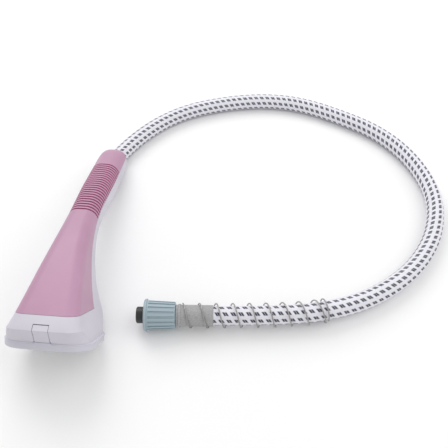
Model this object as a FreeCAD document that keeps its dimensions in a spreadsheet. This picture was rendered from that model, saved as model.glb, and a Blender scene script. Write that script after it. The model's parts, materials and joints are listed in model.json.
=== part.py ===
"""Hand-held steam handset with its braided hose, kink spring and union nut, as a parametric document.

Millimetres, +Z up. The handset lies on its back with the steam face to -Y and the hose leaving to +Y;
the origin is below the middle of the handset, on the surface that it lies on. Distances called "along"
run from the foremost point of the steam face towards the hose.
"""
import FreeCAD, Part
import math
import os

import Sketcher
from FreeCAD import Placement, Rotation, Vector

X_AXIS = Vector(1, 0, 0)
Y_AXIS = Vector(0, 1, 0)
Z_AXIS = Vector(0, 0, 1)

DIMENSIONS = {
    # Handset
    "handset_length": 330.0,
    "wall": 2.4,
    "seam_gap": 0.3,
    # Steam face: a rounded rectangle that leans over the surface
    "face_width": 94.0,
    "face_height": 82.0,
    "face_tilt": 41.0,
    "face_corner": 25.0,
    "rim_thickness": 8.0,
    "rim_width": 7.5,
    "plate_recess": 3.0,
    "plate_thickness": 2.0,
    "gasket_thickness": 1.6,
    "chamber_depth": 17.0,
    "steam_hole": 3.0,
    "steam_hole_pitch": 8.0,
    # Ribbed grip
    "groove_count": 22,
    "groove_width": 2.5,
    "groove_depth": 1.5,
    # Release clip in the middle of the head's front edge
    "clip_width": 15.6,
    "clip_thickness": 2.2,
    "clip_gap": 0.5,
    "clip_pin_diameter": 2.4,
    "spring_wire": 0.7,
    # Hose
    "hose_diameter": 22.0,
    "liner_diameter": 18.0,
    "hose_bore": 12.0,
    # Fittings at the boiler end
    "nut_flange_diameter": 36.6,
    "nut_front_diameter": 33.4,
    "nut_rear_diameter": 30.4,
    "nut_length": 35.0,
    "nut_flange_length": 3.0,
    "nut_bore": 24.2,
    "nut_lip_bore": 18.0,
    "nut_lip_length": 5.0,
    "nut_rib_count": 18,
    "nut_groove_depth": 1.2,
    "spigot_diameter": 18.6,
    "spigot_reach": 9.0,
    "steam_bore": 8.0,
    "sleeve_length": 42.0,
    "sleeve_thickness": 1.0,
    "kink_wire": 1.6,
    "kink_pitch": 19.0,
    "kink_turns": 8.5,
    # Fasteners
    "screw_head": 6.0,
    "screw_shank": 3.0,
}

# Stations of the handset's form from the face to the hose. Each is a rounded section that stands on the
# line from its top point to its bottom point, given as (along, height); then half width and corner radii.
STATIONS = {
    "rim": ((6.2, 67.3), (60.1, 5.3), 45.0, 22.0, 22.0),
    "brow": ((10.0, 84.0), (83.0, 0.0), 38.5, 15.0, 22.0),
    "seam": ((27.0, 86.0), (97.0, 2.5), 33.5, 14.0, 21.0),
    "cheek": ((69.0, 87.5), (110.0, 14.0), 27.0, 13.5, 19.0),
    "flare": ((110.0, 86.5), (130.0, 27.0), 21.8, 13.5, 16.5),
    "waist": ((147.0, 82.0), (150.0, 35.0), 18.7, 13.5, 14.5),
    "neck": ((177.5, 76.0), (170.8, 38.0), 17.7, 14.0, 14.0),
    "grip": ((229.0, 63.5), (218.6, 25.7), 18.3, 14.5, 14.5),
    "heel": ((280.5, 48.0), (267.5, 10.0), 18.9, 15.5, 15.5),
    "cap": ((308.0, 39.8), (298.0, 2.6), 18.9, 15.5, 15.5),
    "dome": ((320.5, 35.0), (313.5, 0.6), 18.2, 14.8, 14.8),
    "crown": ((328.5, 29.5), (325.0, 1.6), 16.0, 12.2, 12.2),
}

# Route of the hose's centre line, from its end inside the handle to its end on the boiler nozzle.
HOSE_ROUTE = (
    (-4, 120, 25.7),
    (-1.3, 138, 20.9),
    (5, 175, 11.3),
    (25, 212, 11),
    (54, 249, 11),
    (94, 280, 11),
    (148, 301.5, 11),
    (206, 313, 11),
    (262, 309, 11),
    (320, 285, 11),
    (378, 252, 11),
    (421, 199, 11),
    (443, 132, 11),
    (435, 68, 11),
    (408, 14, 11),
    (366, -29, 11.8),
    (312, -60, 14.2),
    (240, -77.5, 15.4),
    (124, -87, 17.6),
)
NUT_FACE_TO_HOSE = 38.0


class Size:
    """A length together with the spreadsheet expression that gives it."""

    def __init__(self, number, text):
        self.number = number
        self.text = text

    def __add__(self, other):
        other = as_size(other)
        return Size(self.number + other.number, f"({self.text} + {other.text})")

    def __sub__(self, other):
        other = as_size(other)
        return Size(self.number - other.number, f"({self.text} - {other.text})")

    def __mul__(self, factor):
        return Size(self.number * factor, f"({self.text} * {factor})")

    def __truediv__(self, divisor):
        return Size(self.number / divisor, f"({self.text} / {divisor})")

    def __neg__(self):
        return Size(-self.number, f"(-{self.text})")


def as_size(value):
    return value if isinstance(value, Size) else Size(float(value), f"{float(value)}")


doc = FreeCAD.newDocument("SteamHandset")
sheet = doc.addObject("Spreadsheet::Sheet", "Dimensions")


def put_in_sheet(alias, value):
    """Write one driving dimension into the next row of the spreadsheet and give it its alias."""
    put_in_sheet.row += 1
    sheet.set(f"A{put_in_sheet.row}", alias)
    sheet.set(f"B{put_in_sheet.row}", str(value))
    sheet.setAlias(f"B{put_in_sheet.row}", alias)
    return Size(float(value), f"Dimensions.{alias}")


put_in_sheet.row = 0
d = {alias: put_in_sheet(alias, value) for alias, value in DIMENSIONS.items()}


class Station:
    """One section of the handset's form, with its sizes held in the spreadsheet."""

    def __init__(self, name, top, bottom, half_width, top_radius, bottom_radius):
        cell = {
            "top_along": top[0],
            "top_height": top[1],
            "bottom_along": bottom[0],
            "bottom_height": bottom[1],
            "half_width": half_width,
            "top_radius": top_radius,
            "bottom_radius": bottom_radius,
        }
        size = {key: put_in_sheet(f"{name}_{key}", value) for key, value in cell.items()}
        self.name = name
        self.half_width = size["half_width"]
        self.top_radius = size["top_radius"]
        self.bottom_radius = size["bottom_radius"]
        self.top = Vector(0, top[0] - DIMENSIONS["handset_length"] / 2, top[1])
        self.bottom = Vector(0, bottom[0] - DIMENSIONS["handset_length"] / 2, bottom[1])
        self.centre = (self.top + self.bottom) / 2
        self.up = (self.top - self.bottom).normalize()
        self.half_height = (self.top - self.bottom).Length / 2
        self.centre_along = (size["top_along"] + size["bottom_along"] - d["handset_length"]) / 2
        self.centre_height = (size["top_height"] + size["bottom_height"]) / 2


stations = {name: Station(name, *values) for name, values in STATIONS.items()}
doc.recompute()

nodes = {}


def keep(piece, label, placement=None):
    """Name a finished sub-part, place it, and list it for writing."""
    piece.Label = label
    if placement is not None:
        piece.Placement = placement
    nodes[label] = piece
    return piece


def bind(target, path, size):
    """Tie one property to the spreadsheet."""
    target.setExpression(path, as_size(size).text)


# ---------------------------------------------------------------------------------------------
# Ways of making pieces
# ---------------------------------------------------------------------------------------------


def origin_plane(body, role):
    return next(item for item in body.Origin.OriginFeatures if item.Role == role)


def sketch_on(body, role, name):
    """An empty sketch on one of a body's own origin planes."""
    sketch = body.newObject("Sketcher::SketchObject", name)
    sketch.AttachmentSupport = [(origin_plane(body, role), "")]
    sketch.MapMode = "FlatFace"
    return sketch


def fix_coordinate(sketch, geometry, point, axis, size):
    """Hold one coordinate of a sketch point at a size from the spreadsheet."""
    size = as_size(size)
    if abs(size.number) < 1e-9:
        axis_line = -2 if axis == "X" else -1
        sketch.addConstraint(Sketcher.Constraint("PointOnObject", geometry, point, axis_line))
        return
    kind = f"Distance{axis}"
    index = sketch.addConstraint(Sketcher.Constraint(kind, -1, 1, geometry, point, size.number))
    name = f"{axis.lower()}_{geometry}_{point}"
    sketch.renameConstraint(index, name)
    bind(sketch, f"Constraints.{name}", size)


def fix_radius(sketch, geometry, size):
    """Hold the radius of a circle or arc at a size from the spreadsheet."""
    size = as_size(size)
    index = sketch.addConstraint(Sketcher.Constraint("Radius", geometry, size.number))
    sketch.renameConstraint(index, f"radius_{geometry}")
    bind(sketch, f"Constraints.radius_{geometry}", size)


def draw_polygon(sketch, corners):
    """A closed outline through corners given as pairs of sizes."""
    corners = [(as_size(x), as_size(y)) for x, y in corners]
    first = sketch.GeometryCount
    count = len(corners)
    for index in range(count):
        start, end = corners[index], corners[(index + 1) % count]
        line = Part.LineSegment(
            Vector(start[0].number, start[1].number, 0), Vector(end[0].number, end[1].number, 0)
        )
        sketch.addGeometry(line)
    for index in range(count):
        following = first + (index + 1) % count
        sketch.addConstraint(Sketcher.Constraint("Coincident", first + index, 2, following, 1))
    for index, (x, y) in enumerate(corners):
        fix_coordinate(sketch, first + index, 1, "X", x)
        fix_coordinate(sketch, first + index, 1, "Y", y)


def draw_circle(sketch, radius, centre=(0, 0)):
    centre = [as_size(value) for value in centre]
    point = Vector(centre[0].number, centre[1].number, 0)
    index = sketch.addGeometry(Part.Circle(point, Z_AXIS, as_size(radius).number))
    fix_coordinate(sketch, index, 3, "X", centre[0])
    fix_coordinate(sketch, index, 3, "Y", centre[1])
    fix_radius(sketch, index, radius)


def draw_rounded(sketch, half_width, half_height, top_radius, bottom_radius):
    """A rounded rectangle about the sketch's origin, with its own radii above and below."""
    half_width, half_height = as_size(half_width), as_size(half_height)
    top_radius, bottom_radius = as_size(top_radius), as_size(bottom_radius)
    first = sketch.GeometryCount
    corners = (
        (half_width - bottom_radius, bottom_radius - half_height, bottom_radius, 270),
        (half_width - top_radius, half_height - top_radius, top_radius, 0),
        (top_radius - half_width, half_height - top_radius, top_radius, 90),
        (bottom_radius - half_width, bottom_radius - half_height, bottom_radius, 180),
    )
    arcs = []
    for x, y, radius, start in corners:
        circle = Part.Circle(Vector(x.number, y.number, 0), Z_AXIS, radius.number)
        arcs.append(Part.ArcOfCircle(circle, math.radians(start), math.radians(start + 90)))
    for index, arc in enumerate(arcs):
        following = arcs[(index + 1) % 4]
        sketch.addGeometry(arc)
        sketch.addGeometry(Part.LineSegment(arc.EndPoint, following.StartPoint))
    for index, (x, y, radius, _) in enumerate(corners):
        arc_index, line_index = first + 2 * index, first + 2 * index + 1
        next_arc = first + (2 * index + 2) % 8
        sketch.addConstraint(Sketcher.Constraint("Tangent", arc_index, 2, line_index, 1))
        sketch.addConstraint(Sketcher.Constraint("Tangent", line_index, 2, next_arc, 1))
        fix_coordinate(sketch, arc_index, 3, "X", x)
        fix_coordinate(sketch, arc_index, 3, "Y", y)
        fix_radius(sketch, arc_index, radius)


def turned(label, outline, placement):
    """A finished piece turned about its own X axis."""
    return keep(turned_body(label, outline), label, placement)


def turned_body(label, outline):
    """A body turned about its own X axis; the outline is (along, radius) pairs."""
    body = doc.addObject("PartDesign::Body", label)
    sketch = sketch_on(body, "XY_Plane", f"{label}_outline")
    draw_polygon(sketch, outline)
    revolution = body.newObject("PartDesign::Revolution", f"{label}_turned")
    revolution.Profile = sketch
    revolution.ReferenceAxis = (sketch, ["H_Axis"])
    revolution.Angle = 360
    return body


def ring_outline(start, end, inner, outer):
    return ((start, inner), (end, inner), (end, outer), (start, outer))


def padded_ring(label, outer, inner, thickness, placement):
    """A flat plate or ring of rounded outline; outer and inner are (half width, half height, radius)."""
    body = doc.addObject("PartDesign::Body", label)
    sketch = sketch_on(body, "XY_Plane", f"{label}_outline")
    draw_rounded(sketch, outer[0], outer[1], outer[2], outer[2])
    if inner is not None:
        draw_rounded(sketch, inner[0], inner[1], inner[2], inner[2])
    pad = body.newObject("PartDesign::Pad", f"{label}_pad")
    pad.Profile = sketch
    bind(pad, "Length", thickness)
    return keep(body, label, placement)


def cylinder(name, radius, length, placement):
    """A construction cylinder."""
    item = doc.addObject("Part::Cylinder", name)
    bind(item, "Radius", radius)
    bind(item, "Height", length)
    item.Placement = placement
    return item


def box(name, lengths, placement):
    """A construction box centred on its placement."""
    item = doc.addObject("Part::Box", name)
    for side, length in zip(("Length", "Width", "Height"), lengths):
        bind(item, side, length)
    middle = Vector(*(-as_size(length).number / 2 for length in lengths))
    item.Placement = placement.multiply(Placement(middle, Rotation()))
    return item


def cut(name, base, tool):
    item = doc.addObject("Part::Cut", name)
    item.Base = base
    item.Tool = tool
    return item


def fuse(name, shapes):
    item = doc.addObject("Part::MultiFuse", name)
    item.Shapes = shapes
    return item


def common(name, shapes):
    item = doc.addObject("Part::MultiCommon", name)
    item.Shapes = shapes
    return item


def compound(name, shapes):
    item = doc.addObject("Part::Compound", name)
    item.Links = shapes
    return item


# ---------------------------------------------------------------------------------------------
# Frames that the pieces are placed in
# ---------------------------------------------------------------------------------------------


def upright(point):
    return Placement(point, Rotation())


def pointing(point, direction):
    """A placement whose X axis points the given way."""
    return Placement(point, Rotation(X_AXIS, direction))


def section_placement(centre, up):
    """A placement whose Y axis is a section's up direction and whose Z axis runs through it."""
    return Placement(centre, Rotation(X_AXIS, up, X_AXIS.cross(up), "XYZ"))


def on_face(depth, across=0.0, up=0.0):
    """A placement in the steam face's frame: X across, Y up the face, Z out; depth is behind its front."""
    point = face_centre - face_out * as_size(depth).number + X_AXIS * across + face_up * up
    return Placement(point, Rotation(X_AXIS, face_up, face_out, "XYZ"))


face_tilt = math.radians(d["face_tilt"].number)
face_up = Vector(0, -math.sin(face_tilt), math.cos(face_tilt))
face_out = X_AXIS.cross(face_up)
face_centre = stations["rim"].centre + face_out * d["rim_thickness"].number

hose_start = Vector(*HOSE_ROUTE[0])
hose_direction = (Vector(*HOSE_ROUTE[1]) - hose_start).normalize()
exit_direction = (Vector(*HOSE_ROUTE[2]) - Vector(*HOSE_ROUTE[1])).normalize()
HOSE_TO_EXIT = 23.0
hose_exit = Vector(*HOSE_ROUTE[1]) + exit_direction * HOSE_TO_EXIT

hose_far_end = Vector(*HOSE_ROUTE[-1])
tail_direction = (Vector(*HOSE_ROUTE[-2]) - hose_far_end).normalize()
nut_face = hose_far_end - tail_direction * NUT_FACE_TO_HOSE
on_tail = pointing(nut_face, tail_direction)

# The clip's pin lies across the head just above the rim.
CLIP_PIN_ALONG = 10.6
CLIP_PIN_HEIGHT = 70.0
clip_pin = Vector(0, CLIP_PIN_ALONG - d["handset_length"].number / 2, CLIP_PIN_HEIGHT)


# ---------------------------------------------------------------------------------------------
# Handset shells
# ---------------------------------------------------------------------------------------------

NOSE = ("rim", "brow")
BODY = tuple(name for name in STATIONS if name != "rim")
HOLLOW_BODY = BODY[:-2]
GRIP = ("neck", "grip", "heel")

# How far the parting line passes above (or below) the middle of each station.
PARTING_RISE = {
    "seam": -8.0,
    "cheek": -4.0,
    "flare": 0.0,
    "waist": 3.0,
    "neck": 5.0,
    "grip": 6.0,
    "heel": 7.0,
    "cap": 7.0,
    "dome": 6.0,
}

SCREW_SPOTS = ((22.0, 84.0), (-22.0, 84.0), (-10.3, 150.0), (10.3, 212.0))
SCREW_GRIP = 9.0
SCREW_LENGTH = 16.0
SCREW_HEAD_HEIGHT = 2.2
BOSS_RADIUS = 4.2
COLLAR_CLEARANCE = 1.4
COLLAR_PLAY = 0.4
COLLAR_FIT = 0.05
COLLAR_DEPTH = 12.0
COLLAR_REACH = 1.5
COLLAR_CHAMFER = 0.3


def section_sketch(station, inset, form_name):
    """The outline of one station, drawn in by an inset."""
    inset = as_size(inset)
    sketch = doc.addObject("Sketcher::SketchObject", f"{form_name}_{station.name}")
    draw_rounded(
        sketch,
        station.half_width - inset,
        as_size(station.half_height) - inset,
        station.top_radius - inset,
        station.bottom_radius - inset,
    )
    sketch.Placement = section_placement(station.centre, station.up)
    bind(sketch, "Placement.Base.y", station.centre_along)
    bind(sketch, "Placement.Base.z", station.centre_height)
    return sketch


def lofted(name, station_names, inset, ruled=False):
    loft = doc.addObject("Part::Loft", name)
    loft.Sections = [section_sketch(stations[key], inset, name) for key in station_names]
    loft.Solid = True
    loft.Ruled = ruled
    return loft


def handset_form(name, body_names, inset):
    """The flat-sided nose joined to the smooth body, drawn in by an inset."""
    return fuse(name, [lofted(f"{name}_nose", NOSE, inset, True), lofted(f"{name}_body", body_names, inset)])


def upper_zone(name, gap):
    """The block that holds the upper shell: above the parting line and behind the seam of the head.

    A gap widens the block forwards and downwards.
    """
    down = Vector(0, 0, -gap)
    line = [stations[key].centre + stations[key].up * rise + down for key, rise in PARTING_RISE.items()]
    line.append(stations["crown"].centre + Y_AXIS * 20 + down)
    parting = Part.BSplineCurve()
    parting.interpolate(line)
    seam = stations["seam"]
    foot = line[0] - Y_AXIS * gap
    head = seam.top + seam.up * 20 - Y_AXIS * gap
    far_head = Vector(0, line[-1].y, head.z)
    corners = [line[-1], far_head, head, foot]
    if gap:
        corners.append(line[0])
    edges = [Part.LineSegment(a, b).toShape() for a, b in zip(corners, corners[1:])]
    edges.append(parting.toShape())
    face = Part.Face(Part.Wire(edges))
    half_span = d["face_width"].number
    face.translate(X_AXIS * -half_span)
    zone = doc.addObject("Part::Feature", name)
    zone.Shape = face.extrude(X_AXIS * 2 * half_span)
    return zone


def grip_section(share):
    """Centre and up direction of the grip at a share of its length from the neck to the heel."""
    neck, grip, heel = (stations[key] for key in GRIP)
    weights = ((1 - share) * (1 - 2 * share), 4 * share * (1 - share), share * (2 * share - 1))
    top = neck.top * weights[0] + grip.top * weights[1] + heel.top * weights[2]
    bottom = neck.bottom * weights[0] + grip.bottom * weights[1] + heel.bottom * weights[2]
    return (top + bottom) / 2, (top - bottom).normalize()


def grip_grooves():
    """Rings of space round the grip, as deep as the grooves."""
    count = int(d["groove_count"].number)
    discs = []
    for index in range(count):
        place = section_placement(*grip_section(index / (count - 1)))
        discs.append(box(f"groove_disc_{index}", (60, 60, d["groove_width"]), place))
    core = lofted("grip_core", BODY, d["groove_depth"])
    return cut("groove_rings", compound("groove_discs", discs), core)


def screw_seat(across, along):
    """Where a shell screw's head sits: below the parting line by the grip of the screw."""
    place = along - d["handset_length"].number / 2
    span = [stations[key] for key in PARTING_RISE]
    near, far = next((a, b) for a, b in zip(span, span[1:]) if a.centre.y <= place <= b.centre.y)
    share = (place - near.centre.y) / (far.centre.y - near.centre.y)
    heights = [station.centre.z + station.up.z * PARTING_RISE[station.name] for station in (near, far)]
    parting_height = heights[0] + (heights[1] - heights[0]) * share
    return Vector(across, place, parting_height - SCREW_GRIP)


def shells(seats):
    """The ribbed upper shell and the lower shell with the nose."""
    outer = handset_form("outer_form", BODY, 0)
    inner = handset_form("inner_form", HOLLOW_BODY, d["wall"])
    blanks = [
        cylinder(f"boss_{index}", BOSS_RADIUS, 90, upright(Vector(seat.x, seat.y, 0)))
        for index, seat in enumerate(seats)
    ]
    for side in (-1, 1):
        lug = upright(clip_pin + Vector(side * (d["clip_width"].number / 2 + 2.9), 0, 0))
        blanks.append(box(f"lug_{side + 1}", (4, 8, 8), lug))
    posts = common("inside_posts", [compound("post_blanks", blanks), inner])
    solid_shell = fuse("solid_shell", [cut("shell_wall", outer, inner), posts])

    clearances = [
        cylinder(f"clearance_{index}", d["screw_shank"] / 2 + 0.2, SCREW_LENGTH, upright(seat))
        for index, seat in enumerate(seats)
    ]
    pilots = [
        cylinder(f"pilot_{index}", d["screw_shank"] / 2, SCREW_LENGTH + 1, upright(seat))
        for index, seat in enumerate(seats)
    ]
    counterbore_radius = d["screw_head"] / 2 + 0.3
    counterbores = [
        cylinder(f"counterbore_{index}", counterbore_radius, seat.z, upright(Vector(seat.x, seat.y, 0)))
        for index, seat in enumerate(seats)
    ]
    hose_hole = cylinder(
        "hose_hole",
        d["hose_diameter"] / 2 + COLLAR_CLEARANCE,
        60,
        Placement(hose_exit - exit_direction * 40, Rotation(Z_AXIS, exit_direction)),
    )
    upper = common("upper_blank", [solid_shell, upper_zone("upper_zone", 0)])
    upper_bored = cut("upper_bored", upper, compound("upper_bores", [*pilots, hose_hole]))
    keep(cut("front_shell", upper_bored, grip_grooves()), "front_shell")

    pin_bore = cylinder(
        "pin_bore",
        d["clip_pin_diameter"] / 2,
        CLIP_PIN_LENGTH,
        Placement(clip_pin - X_AXIS * CLIP_PIN_LENGTH / 2, Rotation(Z_AXIS, X_AXIS)),
    )
    window_width = d["clip_width"] + d["clip_gap"] * 2
    window = box("clip_window", (window_width, *CLIP_WINDOW_SIDES), upright(clip_pin + CLIP_WINDOW_MIDDLE))
    reliefs = []
    for side in (-1, 1):
        corner = clip_pin + CLIP_RELIEF_OFFSET + X_AXIS * side * (window_width / 2).number
        place = Placement(corner, Rotation(Z_AXIS, Y_AXIS))
        reliefs.append(cylinder(f"clip_relief_{side + 1}", CLIP_RELIEF_RADIUS, CLIP_RELIEF_DEPTH, place))
    lower = cut("lower_blank", solid_shell, upper_zone("upper_zone_with_gap", d["seam_gap"].number))
    lower_bores = fuse("lower_bores", [*counterbores, *clearances, hose_hole, window, pin_bore, *reliefs])
    keep(cut("rear_shell", lower, lower_bores), "rear_shell")


# ---------------------------------------------------------------------------------------------
# Tubes and bent wires
# ---------------------------------------------------------------------------------------------


def route_wire(name, points):
    """Straight runs joined by tangent arcs, each as large as its two runs allow."""
    edges = []
    start = points[0]
    radii = []
    for before, corner, after in zip(points, points[1:], points[2:]):
        arriving = Vector(corner - before)
        leaving = Vector(after - corner)
        turn = arriving.getAngle(leaving)
        reach = 0.45 * min(arriving.Length, leaving.Length)
        radius = reach / math.tan(turn / 2)
        arriving.normalize()
        leaving.normalize()
        arc_start = corner - arriving * reach
        arc_end = corner + leaving * reach
        middle = corner + (leaving - arriving).normalize() * (radius / math.cos(turn / 2) - radius)
        edges.append(Part.LineSegment(start, arc_start).toShape())
        edges.append(Part.Arc(arc_start, middle, arc_end).toShape())
        radii.append(f"{radius:.0f}")
        start = arc_end
    edges.append(Part.LineSegment(start, points[-1]).toShape())
    print(f"{name}: bend radii {', '.join(radii)} mm")
    return Part.Wire(edges)


def swept_tube(label, path, outer_diameter, inner_diameter):
    """A plain tube along a path, checked against its section times its length."""
    outer, inner = as_size(outer_diameter).number / 2, as_size(inner_diameter).number / 2
    first = path.Edges[0]
    start, tangent = first.valueAt(first.FirstParameter), first.tangentAt(first.FirstParameter)
    solids = []
    for radius in (outer, inner):
        ring = Part.Wire([Part.Circle(start, tangent, radius).toShape()])
        solids.append(path.makePipeShell([ring], True, True))
    tube = doc.addObject("Part::Feature", label)
    tube.Shape = solids[0].cut(solids[1])
    share = tube.Shape.Volume / (math.pi * (outer**2 - inner**2) * path.Length)
    print(f"{label}: {path.Length:.0f} mm long, volume {share:.3f} of section times length")
    return keep(tube, label)


def bent_wire(label, points, diameter):
    """A round wire that follows a smooth curve through points."""
    curve = Part.BSplineCurve()
    curve.interpolate(points)
    path = Part.Wire([curve.toShape()])
    tangent = curve.tangent(curve.FirstParameter)[0]
    ring = Part.Wire([Part.Circle(points[0], tangent, as_size(diameter).number / 2).toShape()])
    wire = doc.addObject("Part::Feature", label)
    wire.Shape = path.makePipeShell([ring], True, True)
    return keep(wire, label)


def trimmed(path, from_start, from_end):
    """A path with a length taken off each end."""
    edges = list(path.Edges)
    while from_start > edges[0].Length:
        from_start -= edges.pop(0).Length
    while from_end > edges[-1].Length:
        from_end -= edges.pop().Length
    first = edges[0]
    edges[0] = first.Curve.toShape(first.getParameterByLength(from_start), first.LastParameter)
    last = edges[-1]
    edges[-1] = last.Curve.toShape(last.FirstParameter, last.getParameterByLength(last.Length - from_end))
    return Part.Wire(edges)


def point_along(path, distance):
    """The point and direction at a distance along a path."""
    for edge in path.Edges:
        if distance <= edge.Length or edge is path.Edges[-1]:
            parameter = edge.getParameterByLength(min(distance, edge.Length))
            return edge.valueAt(parameter), edge.tangentAt(parameter)
        distance -= edge.Length
    raise ValueError("empty path")


# ---------------------------------------------------------------------------------------------
# Steam face
# ---------------------------------------------------------------------------------------------

RIM_ROUNDING = 1.6
PLATE_SLACK = 0.2
LEDGE_WIDTH = 9.0
CHAMBER_INSET = 6.0
CHAMBER_WALL = 2.0
POST_RADIUS = 3.4
PLATE_SCREW_SPOTS = ((26.0, 20.0), (-26.0, 20.0), (-26.0, -20.0), (26.0, -20.0))
PLATE_SCREW_LENGTH = 12.0
PLATE_SCREW_HEAD = 1.4
INLET_RADIUS = 4.0


def inset_outline(outline, inset):
    """A (half width, half height, corner radius) outline drawn in by an inset."""
    return tuple(as_size(value) - inset for value in outline)


def circles_pocket(body, name, circles):
    """Round holes right through a body; circles are (radius, centre) pairs."""
    sketch = sketch_on(body, "XY_Plane", f"{name}_outline")
    for radius, centre in circles:
        draw_circle(sketch, radius, centre)
    pocket = body.newObject("PartDesign::Pocket", name)
    pocket.Profile = sketch
    pocket.Type = "ThroughAll"
    pocket.Midplane = True


def recess(body, name, outline, floor):
    """A hollow of rounded outline that opens to a body's front and stops at its floor."""
    sketch = sketch_on(body, "XY_Plane", f"{name}_outline")
    sketch.AttachmentOffset = upright(Vector(0, 0, as_size(floor).number))
    draw_rounded(sketch, *outline, outline[2])
    pocket = body.newObject("PartDesign::Pocket", name)
    pocket.Profile = sketch
    pocket.Type = "ThroughAll"
    pocket.Reversed = True
    return pocket


def face_frame(outer, opening, plate_back):
    """The rim of the steam face, with a ledge for the plate and rounded front edges."""
    thickness = d["rim_thickness"]
    ledge_opening = inset_outline(opening, LEDGE_WIDTH)
    frame = padded_ring("face_frame", outer, ledge_opening, thickness, on_face(thickness))
    seat = recess(frame, "plate_seat", opening, thickness - plate_back)
    doc.recompute()
    front_edges = [
        f"Edge{index}"
        for index, edge in enumerate(seat.Shape.Edges, 1)
        if all(abs(vertex.Point.z - thickness.number) < 1e-6 for vertex in edge.Vertexes)
    ]
    rounding = frame.newObject("PartDesign::Fillet", "face_frame_rounding")
    rounding.Base = (seat, front_edges)
    rounding.Radius = RIM_ROUNDING


def steam_outlets():
    """Steam holes in staggered rows, clear of the plate's screws."""
    pitch = d["steam_hole_pitch"].number
    outlets = []
    for row in range(-3, 4):
        shift = pitch / 2 if row % 2 else 0.0
        for column in range(-4, 5):
            centre = (column * pitch + shift, row * pitch)
            near_screw = any(math.dist(centre, spot) < pitch for spot in PLATE_SCREW_SPOTS)
            if abs(centre[0]) <= 4 * pitch and not near_screw:
                outlets.append((d["steam_hole"] / 2, centre))
    return outlets


def steam_chamber(front_depth, outline):
    """A tray that opens towards the plate, with a post for each screw and an inlet in its back."""
    depth = d["chamber_depth"]
    body = padded_ring("steam_chamber", outline, None, depth, on_face(front_depth + depth))
    recess(body, "chamber_hollow", inset_outline(outline, CHAMBER_WALL), CHAMBER_WALL)
    posts = sketch_on(body, "XY_Plane", "chamber_post_outline")
    for spot in PLATE_SCREW_SPOTS:
        draw_circle(posts, POST_RADIUS, spot)
    post_pad = body.newObject("PartDesign::Pad", "chamber_posts")
    post_pad.Profile = posts
    bind(post_pad, "Length", depth)
    bores = [(d["screw_shank"] / 2, spot) for spot in PLATE_SCREW_SPOTS]
    circles_pocket(body, "chamber_bores", [*bores, (INLET_RADIUS, (0, 0))])


def screw(name, seat, head_length, shank_length):
    """A pan-head screw whose shank runs along the seat's +Z from the seat."""
    head_place = seat.multiply(upright(Vector(0, 0, -head_length)))
    head = cylinder(f"{name}_head", d["screw_head"] / 2, head_length, head_place)
    shank = cylinder(f"{name}_shank", d["screw_shank"] / 2, shank_length, seat)
    return fuse(name, [head, shank])


def steam_face():
    """The rim, the perforated plate, its gasket, the chamber behind it and the plate's screws."""
    outer = (d["face_width"] / 2, d["face_height"] / 2, d["face_corner"])
    opening = inset_outline(outer, d["rim_width"])
    plate_back = d["plate_recess"] + d["plate_thickness"]
    face_frame(outer, opening, plate_back)

    plate_outline = inset_outline(opening, PLATE_SLACK)
    plate = padded_ring("steam_plate", plate_outline, None, d["plate_thickness"], on_face(plate_back))
    screw_holes = [(d["screw_shank"] / 2 + 0.2, spot) for spot in PLATE_SCREW_SPOTS]
    circles_pocket(plate, "steam_holes", steam_outlets() + screw_holes)

    gasket_back = d["rim_thickness"] + d["gasket_thickness"]
    chamber_outline = inset_outline(opening, CHAMBER_INSET)
    gasket_opening = inset_outline(opening, LEDGE_WIDTH)
    padded_ring("plate_gasket", chamber_outline, gasket_opening, d["gasket_thickness"], on_face(gasket_back))
    steam_chamber(gasket_back, chamber_outline)

    screws = []
    for index, spot in enumerate(PLATE_SCREW_SPOTS):
        seat = on_face(d["plate_recess"], *spot).multiply(Placement(Vector(), Rotation(X_AXIS, 180)))
        screws.append(screw(f"plate_screw_{index}", seat, PLATE_SCREW_HEAD, PLATE_SCREW_LENGTH))
    keep(compound("plate_screws", screws), "plate_screws")
    return gasket_back + d["chamber_depth"]


# ---------------------------------------------------------------------------------------------
# Steam way inside the handset
# ---------------------------------------------------------------------------------------------

STEAM_TUBE = 9.0
STEAM_TUBE_BORE = 6.0
STEAM_TUBE_WAY = 4.0
FERRULE_START = 1.0
FERRULE_END = 18.0
BARB_REACH = 24.0
BARB_TAPER = 5.0
TUBE_BARB = 14.0


def clamp(name, place):
    """A plain band round the steam tube."""
    width = 5.0
    start = place.multiply(Placement(X_AXIS * -width / 2, Rotation(Z_AXIS, X_AXIS)))
    band = cylinder(f"{name}_band", STEAM_TUBE / 2 + 1, width, start)
    hole = cylinder(f"{name}_hole", STEAM_TUBE / 2, width, start)
    return cut(name, band, hole)


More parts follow.
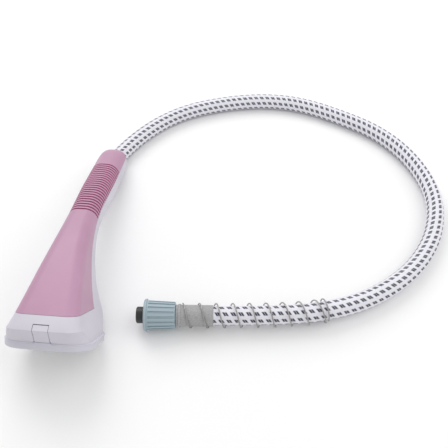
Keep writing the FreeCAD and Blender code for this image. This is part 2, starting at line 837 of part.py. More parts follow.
def steam_way(chamber_back):
    """The chamber's inlet, the tube to it, its two clamps, and the barb and ferrule of the hose."""
    way = STEAM_TUBE_WAY / 2
    bore = STEAM_TUBE_BORE / 2
    liner_bore = d["hose_bore"] / 2
    at_hose = pointing(hose_start, hose_direction)
    barb = (
        (-2 - TUBE_BARB, way),
        (BARB_REACH, way),
        (BARB_REACH, liner_bore - 1),
        (BARB_REACH - BARB_TAPER, liner_bore),
        (0, liner_bore),
        (0, liner_bore + 2),
        (-2, liner_bore + 2),
        (-2, bore),
        (-2 - TUBE_BARB, bore),
    )
    turned("hose_barb", barb, at_hose)
    ferrule = ring_outline(FERRULE_START, FERRULE_END, d["liner_diameter"] / 2, d["hose_diameter"] / 2)
    turned("hose_ferrule", ferrule, at_hose)

    inlet_point = on_face(chamber_back).Base
    inward = -face_out
    inlet = (
        (-CHAMBER_WALL, way),
        (3 + TUBE_BARB, way),
        (3 + TUBE_BARB, bore),
        (3, bore),
        (3, INLET_RADIUS + 3),
        (0, INLET_RADIUS + 3),
        (0, INLET_RADIUS),
        (-CHAMBER_WALL, INLET_RADIUS),
    )
    turned("inlet_spigot", inlet, pointing(inlet_point, inward))

    waist = stations["waist"]
    tube_start = inlet_point + inward * 3
    tube_end = hose_start - hose_direction * 2
    corners = [
        tube_start,
        tube_start + inward * 30,
        waist.centre + waist.up * 2,
        tube_end - hose_direction * 30,
        tube_end,
    ]
    swept_tube("steam_tube", route_wire("steam_tube", corners), STEAM_TUBE, STEAM_TUBE_BORE)
    clamps = [
        clamp("inlet_clamp", pointing(tube_start + inward * 7, inward)),
        clamp("barb_clamp", pointing(tube_end - hose_direction * 7, hose_direction)),
    ]
    keep(compound("tube_clips", clamps), "tube_clips")


def hose_collar():
    """The ring that closes the shells on the hose."""
    inner = d["hose_diameter"] / 2 + COLLAR_PLAY
    outer = d["hose_diameter"] / 2 + COLLAR_CLEARANCE - COLLAR_FIT
    outline = (
        (-COLLAR_DEPTH, inner),
        (COLLAR_REACH, inner),
        (COLLAR_REACH, outer - COLLAR_CHAMFER),
        (COLLAR_REACH - COLLAR_CHAMFER, outer),
        (-COLLAR_DEPTH, outer),
    )
    turned("hose_collar", outline, pointing(hose_exit, exit_direction))


# ---------------------------------------------------------------------------------------------
# Release clip
# ---------------------------------------------------------------------------------------------

CLIP_PIN_LENGTH = 24.0
CLIP_WINDOW_SIDES = (14.8, 26.0)
CLIP_WINDOW_MIDDLE = Vector(0, -1, 9.5)
CLIP_RELIEF_RADIUS = 1.1
CLIP_RELIEF_DEPTH = 8.0
CLIP_RELIEF_OFFSET = Vector(0, -8, -2.2)
CLIP_HOLE_SLACK = 0.08
CLIP_NOTCH = ((-2.4, -3.0), (3.0, -3.0), (3.0, 2.4), (-2.4, 2.4))
CLIP_NOTCH_WIDTH = 6.4
CLIP_PROFILE = (
    (-4.3, -2.2),
    (0.6, -2.2),
    (2.3, -1.3),
    (2.3, 1.3),
    (1.2, 2.6),
    (-0.9, 2.8),
    (1.15, 11.9),
    (5.5, 12.4),
    (5.5, 14.7),
    (-0.6, 14.0),
)
SPRING_COIL_RADIUS = 1.75
SPRING_TURNS = 4.125
SPRING_PITCH = 0.9
SPRING_LEAN = 0.1
SPRING_STEPS_PER_TURN = 12
SPRING_UPPER_LEG = (7.5, 5.0, 2.5)
SPRING_LOWER_LEG = (1.6, 3.2, 4.6)


def release_clip():
    """The latch tab, the pin that it turns on and the torsion spring that holds it out."""
    body = doc.addObject("PartDesign::Body", "release_clip")
    profile = sketch_on(body, "YZ_Plane", "clip_profile")
    draw_polygon(profile, CLIP_PROFILE)
    pad = body.newObject("PartDesign::Pad", "clip_pad")
    pad.Profile = profile
    bind(pad, "Length", d["clip_width"])
    pad.Midplane = True
    hole = sketch_on(body, "YZ_Plane", "clip_hole_outline")
    draw_circle(hole, d["clip_pin_diameter"] / 2 + CLIP_HOLE_SLACK)
    bore = body.newObject("PartDesign::Pocket", "clip_hole")
    bore.Profile = hole
    bore.Type = "ThroughAll"
    bore.Midplane = True
    notch = sketch_on(body, "YZ_Plane", "clip_notch_outline")
    draw_polygon(notch, CLIP_NOTCH)
    relief = body.newObject("PartDesign::Pocket", "clip_notch")
    relief.Profile = notch
    relief.Length = CLIP_NOTCH_WIDTH
    relief.Midplane = True
    keep(body, "release_clip", upright(clip_pin))

    pin_place = Placement(clip_pin - X_AXIS * CLIP_PIN_LENGTH / 2, Rotation(Z_AXIS, X_AXIS))
    keep(cylinder("clip_pin", d["clip_pin_diameter"] / 2, CLIP_PIN_LENGTH, pin_place), "clip_pin")

    clip_spring()


def clip_spring():
    """The torsion spring round the pin: a coil with a leg behind the tab and one under the shell."""
    steps = SPRING_STEPS_PER_TURN
    total = int(SPRING_TURNS * steps)
    coil = []
    for step in range(total + 1):
        angle = SPRING_LEAN - math.tau * step / steps
        across = SPRING_PITCH * (step / steps - SPRING_TURNS / 2)
        spoke = Vector(0, math.cos(angle), math.sin(angle)) * SPRING_COIL_RADIUS
        coil.append(X_AXIS * across + spoke)
    end_angle = SPRING_LEAN - math.tau * total / steps
    arrival = Vector(0, math.sin(SPRING_LEAN), -math.cos(SPRING_LEAN))
    departure = Vector(0, math.sin(end_angle), -math.cos(end_angle))
    upper_leg = [coil[0] - arrival * length for length in SPRING_UPPER_LEG]
    lower_leg = [coil[-1] + departure * length for length in SPRING_LOWER_LEG]
    points = [clip_pin + point for point in upper_leg + coil + lower_leg]
    bent_wire("clip_spring", points, d["spring_wire"])


# ---------------------------------------------------------------------------------------------
# Fittings at the boiler end
# ---------------------------------------------------------------------------------------------

LIP_FLANGE_START = 26.5
LIP_FLANGE_END = 29.5
NOZZLE_TAIL_END = 62.0
SEAL_START = 4.0
SEAL_WIDTH = 2.4
NUT_GROOVE_START = 2.0
NUT_GROOVE_RISE = 1.1
NUT_GROOVE_BOX = (35.0, 2.6, 4.0)
KINK_START = 43.0
KINK_POINTS_PER_TURN = 16
SLEEVE_START = 35.6


def union_nut():
    """The ribbed nut that turns freely on the nozzle, held by the lip at its rear."""
    flange = d["nut_flange_length"]
    length = d["nut_length"]
    lip = length - d["nut_lip_length"]
    front, rear = d["nut_front_diameter"] / 2, d["nut_rear_diameter"] / 2
    outline = (
        (0, d["nut_bore"] / 2),
        (lip, d["nut_bore"] / 2),
        (lip, d["nut_lip_bore"] / 2),
        (length, d["nut_lip_bore"] / 2),
        (length, rear - 1),
        (length - 1, rear),
        (flange, front),
        (flange, d["nut_flange_diameter"] / 2),
        (1, d["nut_flange_diameter"] / 2),
        (0, d["nut_flange_diameter"] / 2 - 1),
    )
    blank = turned_body("nut_blank", outline)
    blank.Placement = on_tail
    count = int(d["nut_rib_count"].number)
    taper = math.degrees(math.atan2(front.number - rear.number, length.number))
    groove_middle = Vector(flange.number + NUT_GROOVE_START + length.number / 2, 0, 0)
    groove_floor = front.number - d["nut_groove_depth"].number + NUT_GROOVE_RISE
    grooves = []
    for index in range(count):
        turn = Rotation(X_AXIS, 360 * index / count)
        tilt = Rotation(Y_AXIS, taper)
        place = on_tail.multiply(Placement(Vector(), turn)).multiply(Placement(groove_middle, Rotation()))
        lean = Placement(Vector(0, 0, groove_floor), tilt)
        grooves.append(box(f"nut_groove_{index}", NUT_GROOVE_BOX, place.multiply(lean)))
    keep(cut("union_nut", blank, compound("nut_grooves", grooves)), "union_nut")


def nozzle():
    """The nozzle with its flange and hose tail, its seal, the nut's washer and the hose's ferrule."""
    bore = d["steam_bore"] / 2
    spigot = d["spigot_diameter"] / 2
    groove = spigot - 1.6
    insert = (
        (-d["spigot_reach"], bore),
        (NOZZLE_TAIL_END, bore),
        (NOZZLE_TAIL_END, d["hose_bore"] / 2 - 1),
        (NOZZLE_TAIL_END - BARB_TAPER, d["hose_bore"] / 2),
        (NUT_FACE_TO_HOSE, d["hose_bore"] / 2),
        (NUT_FACE_TO_HOSE, d["nut_lip_bore"] / 2 - 0.6),
        (LIP_FLANGE_END, d["nut_lip_bore"] / 2 - 0.6),
        (LIP_FLANGE_END, d["nut_bore"] / 2 - 0.7),
        (LIP_FLANGE_START, d["nut_bore"] / 2 - 0.7),
        (LIP_FLANGE_START, spigot),
        (SEAL_START + SEAL_WIDTH, spigot),
        (SEAL_START + SEAL_WIDTH, groove),
        (SEAL_START, groove),
        (SEAL_START, spigot),
        (-d["spigot_reach"] + 1, spigot),
        (-d["spigot_reach"], spigot - 1),
    )
    turned("nozzle_insert", insert, on_tail)
    seal = ring_outline(SEAL_START, SEAL_START + SEAL_WIDTH, groove, spigot + 0.5)
    turned("nozzle_seal", seal, on_tail)
    washer = ring_outline(LIP_FLANGE_START - 2, LIP_FLANGE_START, spigot + 0.05, d["nut_bore"] / 2 - 0.7)
    turned("nut_washer", washer, on_tail)
    start, end = NUT_FACE_TO_HOSE + FERRULE_START, NUT_FACE_TO_HOSE + FERRULE_END
    ferrule = ring_outline(start, end, d["liner_diameter"] / 2, d["hose_diameter"] / 2)
    turned("tail_ferrule", ferrule, on_tail)


def hose_sleeve():
    """The rubber sleeve over the end of the hose, with a bead next to the nut."""
    start = as_size(SLEEVE_START)
    inner = d["hose_diameter"] / 2
    outer = inner + d["sleeve_thickness"]
    outline = (
        (start, inner),
        (start + d["sleeve_length"], inner),
        (start + d["sleeve_length"], outer - 0.4),
        (start + d["sleeve_length"] - 1, outer),
        (start + 6, outer),
        (start + 5, outer + 1),
        (start + 3, outer + 1),
        (start + 2, outer),
        (start, outer),
    )
    turned("hose_sleeve", outline, on_tail)


def kink_spring(hose_path):
    """The open wire spring that starts on the sleeve and follows the hose."""
    radius = d["hose_diameter"].number / 2 + d["sleeve_thickness"].number + 0.2 + d["kink_wire"].number / 2
    begin = KINK_START - NUT_FACE_TO_HOSE
    points = []
    for step in range(int(d["kink_turns"].number * KINK_POINTS_PER_TURN) + 1):
        turns = step / KINK_POINTS_PER_TURN
        distance = begin + d["kink_pitch"].number * turns
        centre, direction = point_along(hose_path, hose_path.Length - distance)
        side = direction.cross(Z_AXIS).normalize()
        above = side.cross(direction)
        angle = math.tau * turns
        points.append(centre + side * radius * math.cos(angle) + above * radius * math.sin(angle))
    bent_wire("kink_spring", points, d["kink_wire"])


# ---------------------------------------------------------------------------------------------
# Assembly
# ---------------------------------------------------------------------------------------------

seats = [screw_seat(*spot) for spot in SCREW_SPOTS]
shells(seats)
shell_screw_list = [
    screw(f"shell_screw_{index}", upright(seat), SCREW_HEAD_HEIGHT, SCREW_LENGTH)
    for index, seat in enumerate(seats)
]
keep(compound("shell_screws", shell_screw_list), "shell_screws")
steam_way(steam_face())
hose_collar()
release_clip()

hose_path = route_wire("hose", [Vector(*point) for point in HOSE_ROUTE])
swept_tube("hose_liner", hose_path, d["liner_diameter"], d["hose_bore"])
bare_end = FERRULE_END + 1
swept_tube("hose_cover", trimmed(hose_path, bare_end, bare_end), d["hose_diameter"], d["liner_diameter"])
union_nut()
nozzle()
hose_sleeve()
kink_spring(hose_path)

doc.recompute()
faulty = [item.Name for item in doc.Objects if {"Invalid", "Error"} & set(item.State)]
faulty += [label for label, item in nodes.items() if item.Shape.isNull() or not item.Shape.isValid()]
if faulty:
    raise RuntimeError(f"objects that did not build: {', '.join(faulty)}")

os.makedirs("parts", exist_ok=True)
for label, item in nodes.items():
    item.Shape.exportStep(f"parts/{label}.step")
    extent = item.Shape.BoundBox
    print(
        f"{label}: {len(item.Shape.Solids)} solid(s), {item.Shape.Volume:.0f} mm3,"
        f" y {extent.YMin:.1f}..{extent.YMax:.1f}, z {extent.ZMin:.1f}..{extent.ZMax:.1f}"
    )
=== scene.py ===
"""Look of the steam handset, its braided hose and its fittings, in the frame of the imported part.

Everything is in metres with +Z up. The handset lies along Y with its steam face to -Y.
"""

import bpy
import json
import math
import numpy as np
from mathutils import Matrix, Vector


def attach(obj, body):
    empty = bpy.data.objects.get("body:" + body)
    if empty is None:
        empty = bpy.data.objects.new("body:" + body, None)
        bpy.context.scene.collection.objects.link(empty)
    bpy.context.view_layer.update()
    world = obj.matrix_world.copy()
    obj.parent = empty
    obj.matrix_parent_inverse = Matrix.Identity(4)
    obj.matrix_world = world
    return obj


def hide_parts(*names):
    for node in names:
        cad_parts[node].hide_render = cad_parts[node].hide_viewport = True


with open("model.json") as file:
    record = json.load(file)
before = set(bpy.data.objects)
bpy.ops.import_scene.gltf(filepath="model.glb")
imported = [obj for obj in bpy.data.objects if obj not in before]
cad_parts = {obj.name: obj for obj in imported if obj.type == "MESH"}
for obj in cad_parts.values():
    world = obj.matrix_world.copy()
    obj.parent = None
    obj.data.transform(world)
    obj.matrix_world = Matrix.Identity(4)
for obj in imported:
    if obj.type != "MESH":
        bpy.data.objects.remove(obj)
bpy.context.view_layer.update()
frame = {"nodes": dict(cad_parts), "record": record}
nodes = frame["nodes"]
scene = bpy.context.scene
scene.view_settings.view_transform = "Standard"

# ---------------------------------------------------------------------------------------------
# Camera
# ---------------------------------------------------------------------------------------------

CAMERA_PLACE = Vector((0.2040, -0.4211, 0.5885))
CAMERA_HEADING = 4.8
CAMERA_PITCH = 50.3
CAMERA_LENS = 46.6

camera_data = bpy.data.cameras.new("camera")
camera_data.lens = CAMERA_LENS
camera_data.sensor_width = 36.0
camera = bpy.data.objects.new("camera", camera_data)
scene.collection.objects.link(camera)
camera.location = CAMERA_PLACE
camera.rotation_euler = (math.radians(90 - CAMERA_PITCH), 0, math.radians(CAMERA_HEADING))
scene.camera = camera

# ---------------------------------------------------------------------------------------------
# Hose route
# ---------------------------------------------------------------------------------------------

HOSE_ROUTE = (
    (-0.004, 0.120, 0.0257),
    (-0.0013, 0.138, 0.0209),
    (0.005, 0.175, 0.0113),
    (0.025, 0.212, 0.011),
    (0.054, 0.249, 0.011),
    (0.094, 0.280, 0.011),
    (0.148, 0.3015, 0.011),
    (0.206, 0.313, 0.011),
    (0.262, 0.309, 0.011),
    (0.320, 0.285, 0.011),
    (0.378, 0.252, 0.011),
    (0.421, 0.199, 0.011),
    (0.443, 0.132, 0.011),
    (0.435, 0.068, 0.011),
    (0.408, 0.014, 0.011),
    (0.366, -0.029, 0.0118),
    (0.312, -0.060, 0.0142),
    (0.240, -0.0775, 0.0154),
    (0.124, -0.087, 0.0176),
)
HOSE_RADIUS = 0.011
HOSE_START = 0.020
HOSE_END_COVERED = 0.020
ROUTE_STEPS = 24


def nurbs_points(name, route):
    """Points along one smooth NURBS curve whose control points are the route."""
    curve = bpy.data.curves.new(name, "CURVE")
    curve.dimensions = "3D"
    curve.resolution_u = ROUTE_STEPS
    spline = curve.splines.new("NURBS")
    spline.points.add(len(route) - 1)
    for point, place in zip(spline.points, route):
        point.co = (*place, 1)
    spline.order_u = 3
    spline.use_endpoint_u = True
    holder = bpy.data.objects.new(name, curve)
    scene.collection.objects.link(holder)
    mesh = bpy.data.meshes.new_from_object(holder)
    points = np.array([vertex.co for vertex in mesh.vertices])
    bpy.data.objects.remove(holder)
    bpy.data.meshes.remove(mesh)
    return points


def unit(vectors):
    return vectors / np.linalg.norm(vectors, axis=-1, keepdims=True)


class Path:
    """A line in space that is read by distance along it."""

    TANGENT_REACH = 0.002

    def __init__(self, points):
        steps = np.linalg.norm(np.diff(points, axis=0), axis=1)
        self.points = points
        self.distances = np.concatenate([[0], np.cumsum(steps)])
        self.length = self.distances[-1]

    def at(self, distances):
        columns = [np.interp(distances, self.distances, self.points[:, axis]) for axis in range(3)]
        return np.stack(columns, axis=1)

    def frames(self, distances):
        """Centres with their tangent, side and up directions."""
        ahead = self.at(np.clip(distances + self.TANGENT_REACH, 0, self.length))
        behind = self.at(np.clip(distances - self.TANGENT_REACH, 0, self.length))
        tangents = unit(ahead - behind)
        sides = unit(np.cross(tangents, (0, 0, 1)))
        return self.at(distances), tangents, sides, np.cross(sides, tangents)


hose_line = Path(nurbs_points("hose_route", HOSE_ROUTE))

# ---------------------------------------------------------------------------------------------
# Mesh building
# ---------------------------------------------------------------------------------------------


def mesh_object(name, vertices, faces, uvs=None, smooth=True):
    mesh = bpy.data.meshes.new(name)
    mesh.from_pydata([tuple(v) for v in vertices], [], [tuple(f) for f in faces])
    if uvs is not None:
        layer = mesh.uv_layers.new(name="weave")
        layer.data.foreach_set("uv", np.asarray(uvs, dtype=np.float32).ravel())
    mesh.polygons.foreach_set("use_smooth", [smooth] * len(mesh.polygons))
    mesh.update()
    piece = bpy.data.objects.new(name, mesh)
    scene.collection.objects.link(piece)
    return piece


def grid_faces(rings, around):
    """Quads between consecutive closed rings."""
    ring, step = np.meshgrid(np.arange(rings - 1), np.arange(around), indexing="ij")
    after = (step + 1) % around
    near, far = ring * around, (ring + 1) * around
    return np.stack([near + step, near + after, far + after, far + step], axis=-1).reshape(-1, 4)


def circle_offsets(first, second, angles):
    """Unit offsets round a circle in the plane of two directions, for each pair of directions."""
    cosines, sines = np.cos(angles)[None, :, None], np.sin(angles)[None, :, None]
    return first[:, None, :] * cosines + second[:, None, :] * sines


def tube_surface(path, distances, radii, around):
    """Vertices of a tube; radii has one value for each ring and each step round it."""
    centres, _, sides, ups = path.frames(distances)
    angles = np.arange(around) * math.tau / around
    spokes = circle_offsets(sides, ups, angles)
    return (centres[:, None, :] + spokes * radii[:, :, None]).reshape(-1, 3)


def closed_wire(name, middles, outward, across, radius, around):
    """A round wire with flat ends; outward and across span its section at each middle."""
    offsets = circle_offsets(outward, across, np.arange(around) * math.tau / around)
    vertices = (middles[:, None, :] + offsets * radius).reshape(-1, 3)
    faces = [tuple(face) for face in grid_faces(len(middles), around)]
    last = (len(middles) - 1) * around
    faces.append(tuple(range(around - 1, -1, -1)))
    faces.append(tuple(range(last, last + around)))
    return mesh_object(name, vertices, faces)


# ---------------------------------------------------------------------------------------------
# Braided cover
# ---------------------------------------------------------------------------------------------

WEAVE_PITCH = 0.0088
WEAVE_CELLS_AROUND = 4
WEAVE_RELIEF = 0.00022
WEAVE_STEP = 0.0010
WEAVE_AROUND = 80


def weave_height(turns, distance):
    """Relief of the braid, 0 to 1: one family of strands rises where it passes over the other."""
    across = turns * WEAVE_CELLS_AROUND
    along = distance / WEAVE_PITCH
    first, second = across + along, across - along
    over = (np.floor(first) + np.floor(second)) % 2
    crest_of_first = np.abs(np.cos(math.pi * (first - 0.5)))
    crest_of_second = np.abs(np.cos(math.pi * (second - 0.5)))
    return np.where(
        over == 0,
        crest_of_first * (0.6 + 0.4 * crest_of_second),
        crest_of_second * (0.6 + 0.4 * crest_of_first),
    )


def braided_cover():
    start, end = HOSE_START, hose_line.length - HOSE_END_COVERED
    distances = np.arange(start, end, WEAVE_STEP)
    turns = np.arange(WEAVE_AROUND) / WEAVE_AROUND
    height = weave_height(turns[None, :], distances[:, None])
    radii = HOSE_RADIUS - WEAVE_RELIEF * (1 - height)
    vertices = tube_surface(hose_line, distances, radii, WEAVE_AROUND)
    faces = grid_faces(len(distances), WEAVE_AROUND)
    rings = len(distances) - 1
    near = np.repeat(distances[:-1] / WEAVE_PITCH, WEAVE_AROUND)
    far = np.repeat(distances[1:] / WEAVE_PITCH, WEAVE_AROUND)
    left = np.tile(turns * WEAVE_CELLS_AROUND, rings)
    right = left + WEAVE_CELLS_AROUND / WEAVE_AROUND
    corners = ((left, near), (right, near), (right, far), (left, far))
    uvs = np.stack([np.stack(corner, 1) for corner in corners], axis=1).reshape(-1, 2)
    piece = mesh_object("braided_hose", vertices, faces, uvs)
    return piece, hose_line.at(distances)


cover, cover_line = braided_cover()

# ---------------------------------------------------------------------------------------------
# Kink spring
# ---------------------------------------------------------------------------------------------

SPRING_WIRE = 0.0008
SPRING_CLEARANCE = 0.0018
SPRING_RADIUS = HOSE_RADIUS + SPRING_CLEARANCE + SPRING_WIRE
SPRING_START = 0.005
SPRING_PITCH = 0.019
SPRING_TURNS = 8.5
SPRING_CLOSING_TURN = 0.9
SPRING_CLOSING_PITCH = 2.2 * SPRING_WIRE
SPRING_STEPS = 48
SPRING_SECTION_STEPS = 12
SPRING_PHASE = 0.1


def kink_spring():
    """Open coils with one closed turn at the end towards the handset, following the hose from its far end.
    """
    turns = np.arange(0, SPRING_TURNS + SPRING_CLOSING_TURN, 1 / SPRING_STEPS)
    advance = np.minimum(turns, SPRING_TURNS) * SPRING_PITCH
    closing = np.clip(turns - SPRING_TURNS, 0, None)
    distances = hose_line.length - (SPRING_START + advance + closing * SPRING_CLOSING_PITCH)
    centres, _, sides, ups = hose_line.frames(distances)
    angles = math.tau * (turns + SPRING_PHASE)
    spokes = sides * np.cos(angles)[:, None] + ups * np.sin(angles)[:, None]
    wire = Path(centres + spokes * SPRING_RADIUS)
    samples = np.linspace(0, wire.length, len(turns))
    middles = wire.at(samples)
    tangents = unit(np.gradient(middles, axis=0))
    outward = unit(spokes - tangents * np.sum(spokes * tangents, axis=1, keepdims=True))
    across = np.cross(tangents, outward)
    return closed_wire("kink_spring_wire", middles, outward, across, SPRING_WIRE, SPRING_SECTION_STEPS)


spring = kink_spring()

# ---------------------------------------------------------------------------------------------
# Bead round the back of the rim
# ---------------------------------------------------------------------------------------------

RIM_BACK = Vector((0, -0.13185, 0.0363))
RIM_TILT = math.radians(41)
RIM_HALF_WIDTH = 0.047
RIM_HALF_HEIGHT = 0.041
RIM_CORNER = 0.025
BEAD_RADIUS = 0.0011
BEAD_INSET = 0.0005
BEAD_SET_FORWARD = 0.0009
BEAD_CLIP_GAP = 0.0092
BEAD_SECTION_STEPS = 16
RIM_CORNER_STEPS = 25


def rim_outline():
    """Points and outward directions round the rim, from one side of the clip to the other."""
    points, normals = [(BEAD_CLIP_GAP, RIM_HALF_HEIGHT)], [(0.0, 1.0)]
    corners = ((1, 1, 90), (1, -1, 0), (-1, -1, -90), (-1, 1, -180))
    for side, level, start in corners:
        middle = (side * (RIM_HALF_WIDTH - RIM_CORNER), level * (RIM_HALF_HEIGHT - RIM_CORNER))
        for angle in np.radians(np.linspace(start, start - 90, RIM_CORNER_STEPS)):
            normal = (math.cos(angle), math.sin(angle))
            points.append((middle[0] + RIM_CORNER * normal[0], middle[1] + RIM_CORNER * normal[1]))
            normals.append(normal)
    points.append((-BEAD_CLIP_GAP, RIM_HALF_HEIGHT))
    normals.append((0.0, 1.0))
    return np.array(points), np.array(normals)


def rim_bead():
    """The raised bead that runs round the rim next to the nose and stops at the clip."""
    forward = np.array((0, -math.cos(RIM_TILT), -math.sin(RIM_TILT)))
    up = np.array((0, -math.sin(RIM_TILT), math.cos(RIM_TILT)))
    across = np.array((1.0, 0.0, 0.0))
    points, normals = rim_outline()
    inset = points - normals * BEAD_INSET
    start = np.array(RIM_BACK) + forward * BEAD_SET_FORWARD
    middles = start + inset[:, :1] * across + inset[:, 1:] * up
    outward = normals[:, :1] * across + normals[:, 1:] * up
    forwards = np.tile(forward, (len(middles), 1))
    return closed_wire("rim_bead", middles, outward, forwards, BEAD_RADIUS, BEAD_SECTION_STEPS)


bead = rim_bead()

# ---------------------------------------------------------------------------------------------
# Materials
# ---------------------------------------------------------------------------------------------


class Shader:
    """A principled material with helpers that add and join nodes."""

    def __init__(self, name, colour, roughness, metallic=0.0):
        self.material = bpy.data.materials.new(name)
        self.material.use_nodes = True
        self.tree = self.material.node_tree
        self.surface = self.tree.nodes["Principled BSDF"]
        self.surface.inputs["Base Color"].default_value = (*colour, 1)
        self.surface.inputs["Roughness"].default_value = roughness
        self.surface.inputs["Metallic"].default_value = metallic

    def add(self, kind, **settings):
        node = self.tree.nodes.new(kind)
        for key, value in settings.items():
            setattr(node, key, value)
        return node

    def join(self, output, target):
        self.tree.links.new(output, target)

    def maths(self, operation, *values):
        """A maths node on outputs or plain numbers; gives its output."""
        node = self.add("ShaderNodeMath", operation=operation)
        for socket, value in zip(node.inputs, values):
            if isinstance(value, (int, float)):
                socket.default_value = value
            else:
                self.join(value, socket)
        return node.outputs[0]

    def noise(self, scale, detail=3.0, space="Object"):
        place = self.add("ShaderNodeTexCoord")
        node = self.add("ShaderNodeTexNoise")
        node.inputs["Scale"].default_value = scale
        node.inputs["Detail"].default_value = detail
        self.join(place.outputs[space], node.inputs["Vector"])
        return node.outputs["Fac"]

    def tint(self, factor, dark, light, low=0.35, high=0.65):
        """Colour that moves between two tones with a factor."""
        ramp = self.add("ShaderNodeValToRGB")
        ramp.color_ramp.elements[0].position = low
        ramp.color_ramp.elements[0].color = (*dark, 1)
        ramp.color_ramp.elements[1].position = high
        ramp.color_ramp.elements[1].color = (*light, 1)
        self.join(factor, ramp.inputs["Fac"])
        return ramp.outputs["Color"]

    def bump(self, height, distance, strength=1.0):
        node = self.add("ShaderNodeBump")
        node.inputs["Distance"].default_value = distance
        node.inputs["Strength"].default_value = strength
        self.join(height, node.inputs["Height"])
        self.join(node.outputs["Normal"], self.surface.inputs["Normal"])


def scaled(colour, factor):
    return tuple(min(1.0, channel * factor) for channel in colour)


def plastic(name, colour, roughness, grain=0.00004, variation=0.04):
    """Moulded plastic: faint cloudiness, a fine grain and small changes of gloss."""
    shader = Shader(name, colour, roughness)
    cloud = shader.noise(18.0, 2.0)
    tone = shader.tint(cloud, scaled(colour, 1 - variation), scaled(colour, 1 + variation))
    shader.join(tone, shader.surface.inputs["Base Color"])
    gloss = shader.maths("MULTIPLY_ADD", shader.noise(60.0, 3.0), 0.12, roughness - 0.06)
    shader.join(gloss, shader.surface.inputs["Roughness"])
    shader.bump(shader.noise(1800.0, 2.0), grain, 0.5)
    return shader.material


def metal(name, colour, roughness, scale=900.0):
    """Bright metal with fine marks of drawing or pressing."""
    shader = Shader(name, colour, roughness, 1.0)
    marks = shader.noise(scale, 4.0)
    shader.join(shader.tint(marks, scaled(colour, 0.85), colour), shader.surface.inputs["Base Color"])
    rough = shader.maths("MULTIPLY_ADD", marks, 0.25, roughness - 0.1)
    shader.join(rough, shader.surface.inputs["Roughness"])
    shader.bump(marks, 0.00002, 0.4)
    return shader.material


def rubber(name, colour):
    """Matt rubber with dust in its pores."""
    shader = Shader(name, colour, 0.7)
    pores = shader.noise(700.0, 5.0)
    tone = shader.tint(pores, scaled(colour, 0.85), scaled(colour, 1.15))
    shader.join(tone, shader.surface.inputs["Base Color"])
    shader.bump(pores, 0.00006, 0.6)
    return shader.material


def smooth_below(shader, value, limit, softness):
    """1 where a value is below its limit, 0 above, with a soft edge."""
    node = shader.add("ShaderNodeMapRange", interpolation_type="SMOOTHSTEP")
    shader.join(value, node.inputs["Value"])
    node.inputs["From Min"].default_value = limit - softness
    node.inputs["From Max"].default_value = limit + softness
    node.inputs["To Min"].default_value = 1.0
    node.inputs["To Max"].default_value = 0.0
    return node.outputs["Result"]


# THREAD_LIGHT and THREAD_SHADE are painted light on the thread crests and painted shade in the hollows;
# THREAD_DARK is the real colour of the dark flecks.
THREAD_LIGHT = (0.93, 0.92, 0.97)
THREAD_SHADE = (0.66, 0.65, 0.74)
THREAD_DARK = (0.035, 0.04, 0.065)
FLECK_LENGTH = 0.0053
FLECK_HEIGHT = 0.0042
FLECK_SLANT = math.tan(math.radians(30))
FLECK_SPLIT = 0.00016
FLECK_FRAY = 0.0012
THREADS_PER_CELL = 7


def braid():
    """White braid with staggered rows of slanted dark flecks, each of two threads."""
    shader = Shader("braid", THREAD_LIGHT, 0.62)
    coordinates = shader.add("ShaderNodeUVMap", uv_map="weave")
    split = shader.add("ShaderNodeSeparateXYZ")
    shader.join(coordinates.outputs["UV"], split.inputs["Vector"])
    across, along = split.outputs["X"], split.outputs["Y"]
    row = shader.maths("MULTIPLY", across, 2.0)
    row_index = shader.maths("FLOOR", row)
    stagger = shader.maths("MULTIPLY", row_index, 0.5)
    cell_across = shader.maths("SUBTRACT", shader.maths("FRACT", row), 0.5)
    staggered = shader.maths("ADD", along, stagger)
    cell_along = shader.maths("SUBTRACT", shader.maths("FRACT", staggered), 0.5)
    row_width = math.tau * HOSE_RADIUS / (WEAVE_CELLS_AROUND * 2)
    sideways = shader.maths("MULTIPLY", cell_across, row_width)
    forwards = shader.maths("MULTIPLY", cell_along, WEAVE_PITCH)
    slanted = shader.maths("ADD", forwards, shader.maths("MULTIPLY", sideways, FLECK_SLANT))
    fray = shader.maths("MULTIPLY", shader.maths("SUBTRACT", shader.noise(900.0, 2.0), 0.5), FLECK_FRAY)
    height_off = shader.maths("ADD", shader.maths("ABSOLUTE", sideways), fray)
    thread_middle = shader.maths("SUBTRACT", shader.maths("ABSOLUTE", slanted), FLECK_LENGTH / 4)
    inside_height = smooth_below(shader, height_off, FLECK_HEIGHT / 2, 0.0005)
    thread_half = FLECK_LENGTH / 4 - FLECK_SPLIT
    inside_thread = smooth_below(shader, shader.maths("ABSOLUTE", thread_middle), thread_half, 0.0003)
    mask = shader.maths("MULTIPLY", inside_height, inside_thread)

    turn = math.tau * THREADS_PER_CELL
    threads = shader.maths("SINE", shader.maths("MULTIPLY", shader.maths("ADD", across, along), turn))
    counter = shader.maths("SINE", shader.maths("MULTIPLY", shader.maths("SUBTRACT", across, along), turn))
    weave = shader.maths("MAXIMUM", threads, counter)
    # Thread crests get painted light and the hollows between threads get painted shade.
    light = shader.tint(weave, THREAD_SHADE, THREAD_LIGHT, 0.0, 0.6)
    mix = shader.add("ShaderNodeMix", data_type="RGBA")
    shader.join(mask, mix.inputs["Factor"])
    shader.join(light, mix.inputs["A"])
    mix.inputs["B"].default_value = (*THREAD_DARK, 1)
    shader.join(mix.outputs["Result"], shader.surface.inputs["Base Color"])
    shader.bump(shader.maths("SUBTRACT", weave, mask), 0.00018, 0.7)
    return shader.material


PINK = (0.475, 0.265, 0.385)
# Deeper pink for the grooves: painted shade, since the plastic there is the same pink as the rest.
PINK_GROOVE_SHADE = (0.46, 0.135, 0.265)

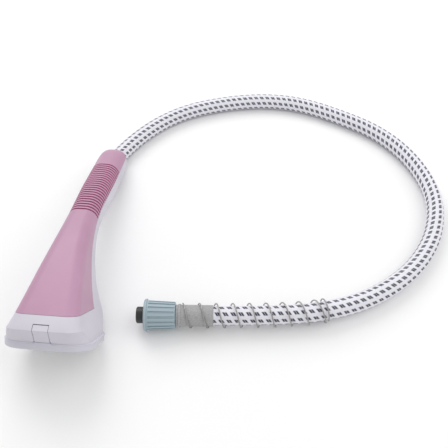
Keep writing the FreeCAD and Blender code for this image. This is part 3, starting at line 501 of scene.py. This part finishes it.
FINISHES = {
    "pink_plastic": plastic("pink plastic", PINK, 0.42),
    "white_plastic": plastic("white plastic", (0.60, 0.575, 0.645), 0.45),
    "rim_plastic": plastic("rim plastic", (0.58, 0.565, 0.635), 0.45),
    "plate_metal": metal("plate metal", (0.75, 0.75, 0.76), 0.35),
    "seal_rubber": rubber("seal rubber", (0.45, 0.10, 0.07)),
    "chamber_plastic": plastic("chamber plastic", (0.05, 0.05, 0.055), 0.55),
    "steel": metal("steel", (0.62, 0.62, 0.62), 0.32),
    "tube_rubber": rubber("tube rubber", (0.03, 0.03, 0.03)),
    "braid": braid(),
    "sleeve_rubber": rubber("sleeve rubber", (0.36, 0.36, 0.365)),
    "spring_steel": metal("spring steel", (0.42, 0.41, 0.40), 0.35),
    "nozzle_plastic": plastic("nozzle plastic", (0.02, 0.02, 0.02), 0.4),
    "nut_plastic": plastic("nut plastic", (0.345, 0.43, 0.475), 0.5),
}


def finish_piece(piece, material):
    piece.data.materials.clear()
    piece.data.materials.append(material)


# The grip's grooves lie in sections between these three, given as (y, z) of top and bottom points.
GRIP_SECTIONS = (
    ((0.0125, 0.0760), (0.0058, 0.0380)),
    ((0.0640, 0.0635), (0.0536, 0.0257)),
    ((0.1155, 0.0480), (0.1025, 0.0100)),
)
GROOVE_COUNT = 22
GROOVE_WIDTH = 0.0025


def groove_planes():
    """A point and a normal, in the YZ plane, for the middle of each groove."""
    neck, grip, heel = (np.array(section) for section in GRIP_SECTIONS)
    planes = []
    for share in np.linspace(0, 1, GROOVE_COUNT):
        weights = ((1 - share) * (1 - 2 * share), 4 * share * (1 - share), share * (2 * share - 1))
        top, bottom = weights[0] * neck + weights[1] * grip + weights[2] * heel
        up = (top - bottom) / np.linalg.norm(top - bottom)
        planes.append(((top + bottom) / 2, np.array((up[1], -up[0]))))
    return planes


def paint_groove_shade(shell):
    """Paint the floors and walls of the grooves a deeper pink as painted shade; the plastic there is the
    same pink as the rest.
    """
    shell.data.materials.append(plastic("groove pink painted shade", PINK_GROOVE_SHADE, 0.55))
    count = len(shell.data.polygons)
    centres = np.empty(count * 3)
    shell.data.polygons.foreach_get("center", centres)
    places = centres.reshape(-1, 3)[:, 1:]
    in_groove = np.zeros(count, dtype=bool)
    for point, normal in groove_planes():
        in_groove |= np.abs((places - point) @ normal) < GROOVE_WIDTH / 2 + 0.00002
    shell.data.polygons.foreach_set("material_index", in_groove.astype(np.int32))


for entry in frame["record"]["subparts"]:
    finish_piece(nodes[entry["node"]], FINISHES[entry["material_slot"]])
finish_piece(cover, FINISHES["braid"])
paint_groove_shade(nodes["front_shell"])
finish_piece(spring, FINISHES["spring_steel"])
finish_piece(bead, FINISHES["rim_plastic"])

# ---------------------------------------------------------------------------------------------
# What each piece stands for
# ---------------------------------------------------------------------------------------------

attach(cover, "handset")
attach(spring, "handset")
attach(bead, "handset")
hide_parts("hose_cover")
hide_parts("kink_spring")

# ---------------------------------------------------------------------------------------------
# Floor and light
# ---------------------------------------------------------------------------------------------


FLOOR_REACH = 6.0
FLOOR_LEVEL = -0.0003
LAMP_SIZE = 1.6
LIT_POINT = (0.1, 0.05, 0)


def floor():
    sides = ((-1, -1), (1, -1), (1, 1), (-1, 1))
    corners = [(x * FLOOR_REACH, y * FLOOR_REACH, FLOOR_LEVEL) for x, y in sides]
    piece = mesh_object("floor", corners, [(0, 1, 2, 3)], smooth=False)
    shader = Shader("floor paint", (0.93, 0.93, 0.93), 0.85)
    tone = shader.tint(shader.noise(2.0, 2.0), (0.92, 0.92, 0.92), (0.94, 0.94, 0.94))
    shader.join(tone, shader.surface.inputs["Base Color"])
    finish_piece(piece, shader.material)


def area_light(name, place, target, size, power):
    data = bpy.data.lights.new(name, "AREA")
    data.size = size
    data.energy = power
    lamp = bpy.data.objects.new(name, data)
    lamp.location = place
    lamp.rotation_euler = (Vector(target) - Vector(place)).to_track_quat("-Z", "Y").to_euler()
    scene.collection.objects.link(lamp)


floor()
area_light("key", (-0.6, 1.5, 1.7), LIT_POINT, LAMP_SIZE, 20)
area_light("fill", (1.5, 0.2, 1.5), LIT_POINT, LAMP_SIZE, 7)
world = bpy.data.worlds.new("studio")
world.use_nodes = True
world.node_tree.nodes["Background"].inputs["Color"].default_value = (1, 1, 1, 1)
world.node_tree.nodes["Background"].inputs["Strength"].default_value = 0.78
scene.world = world
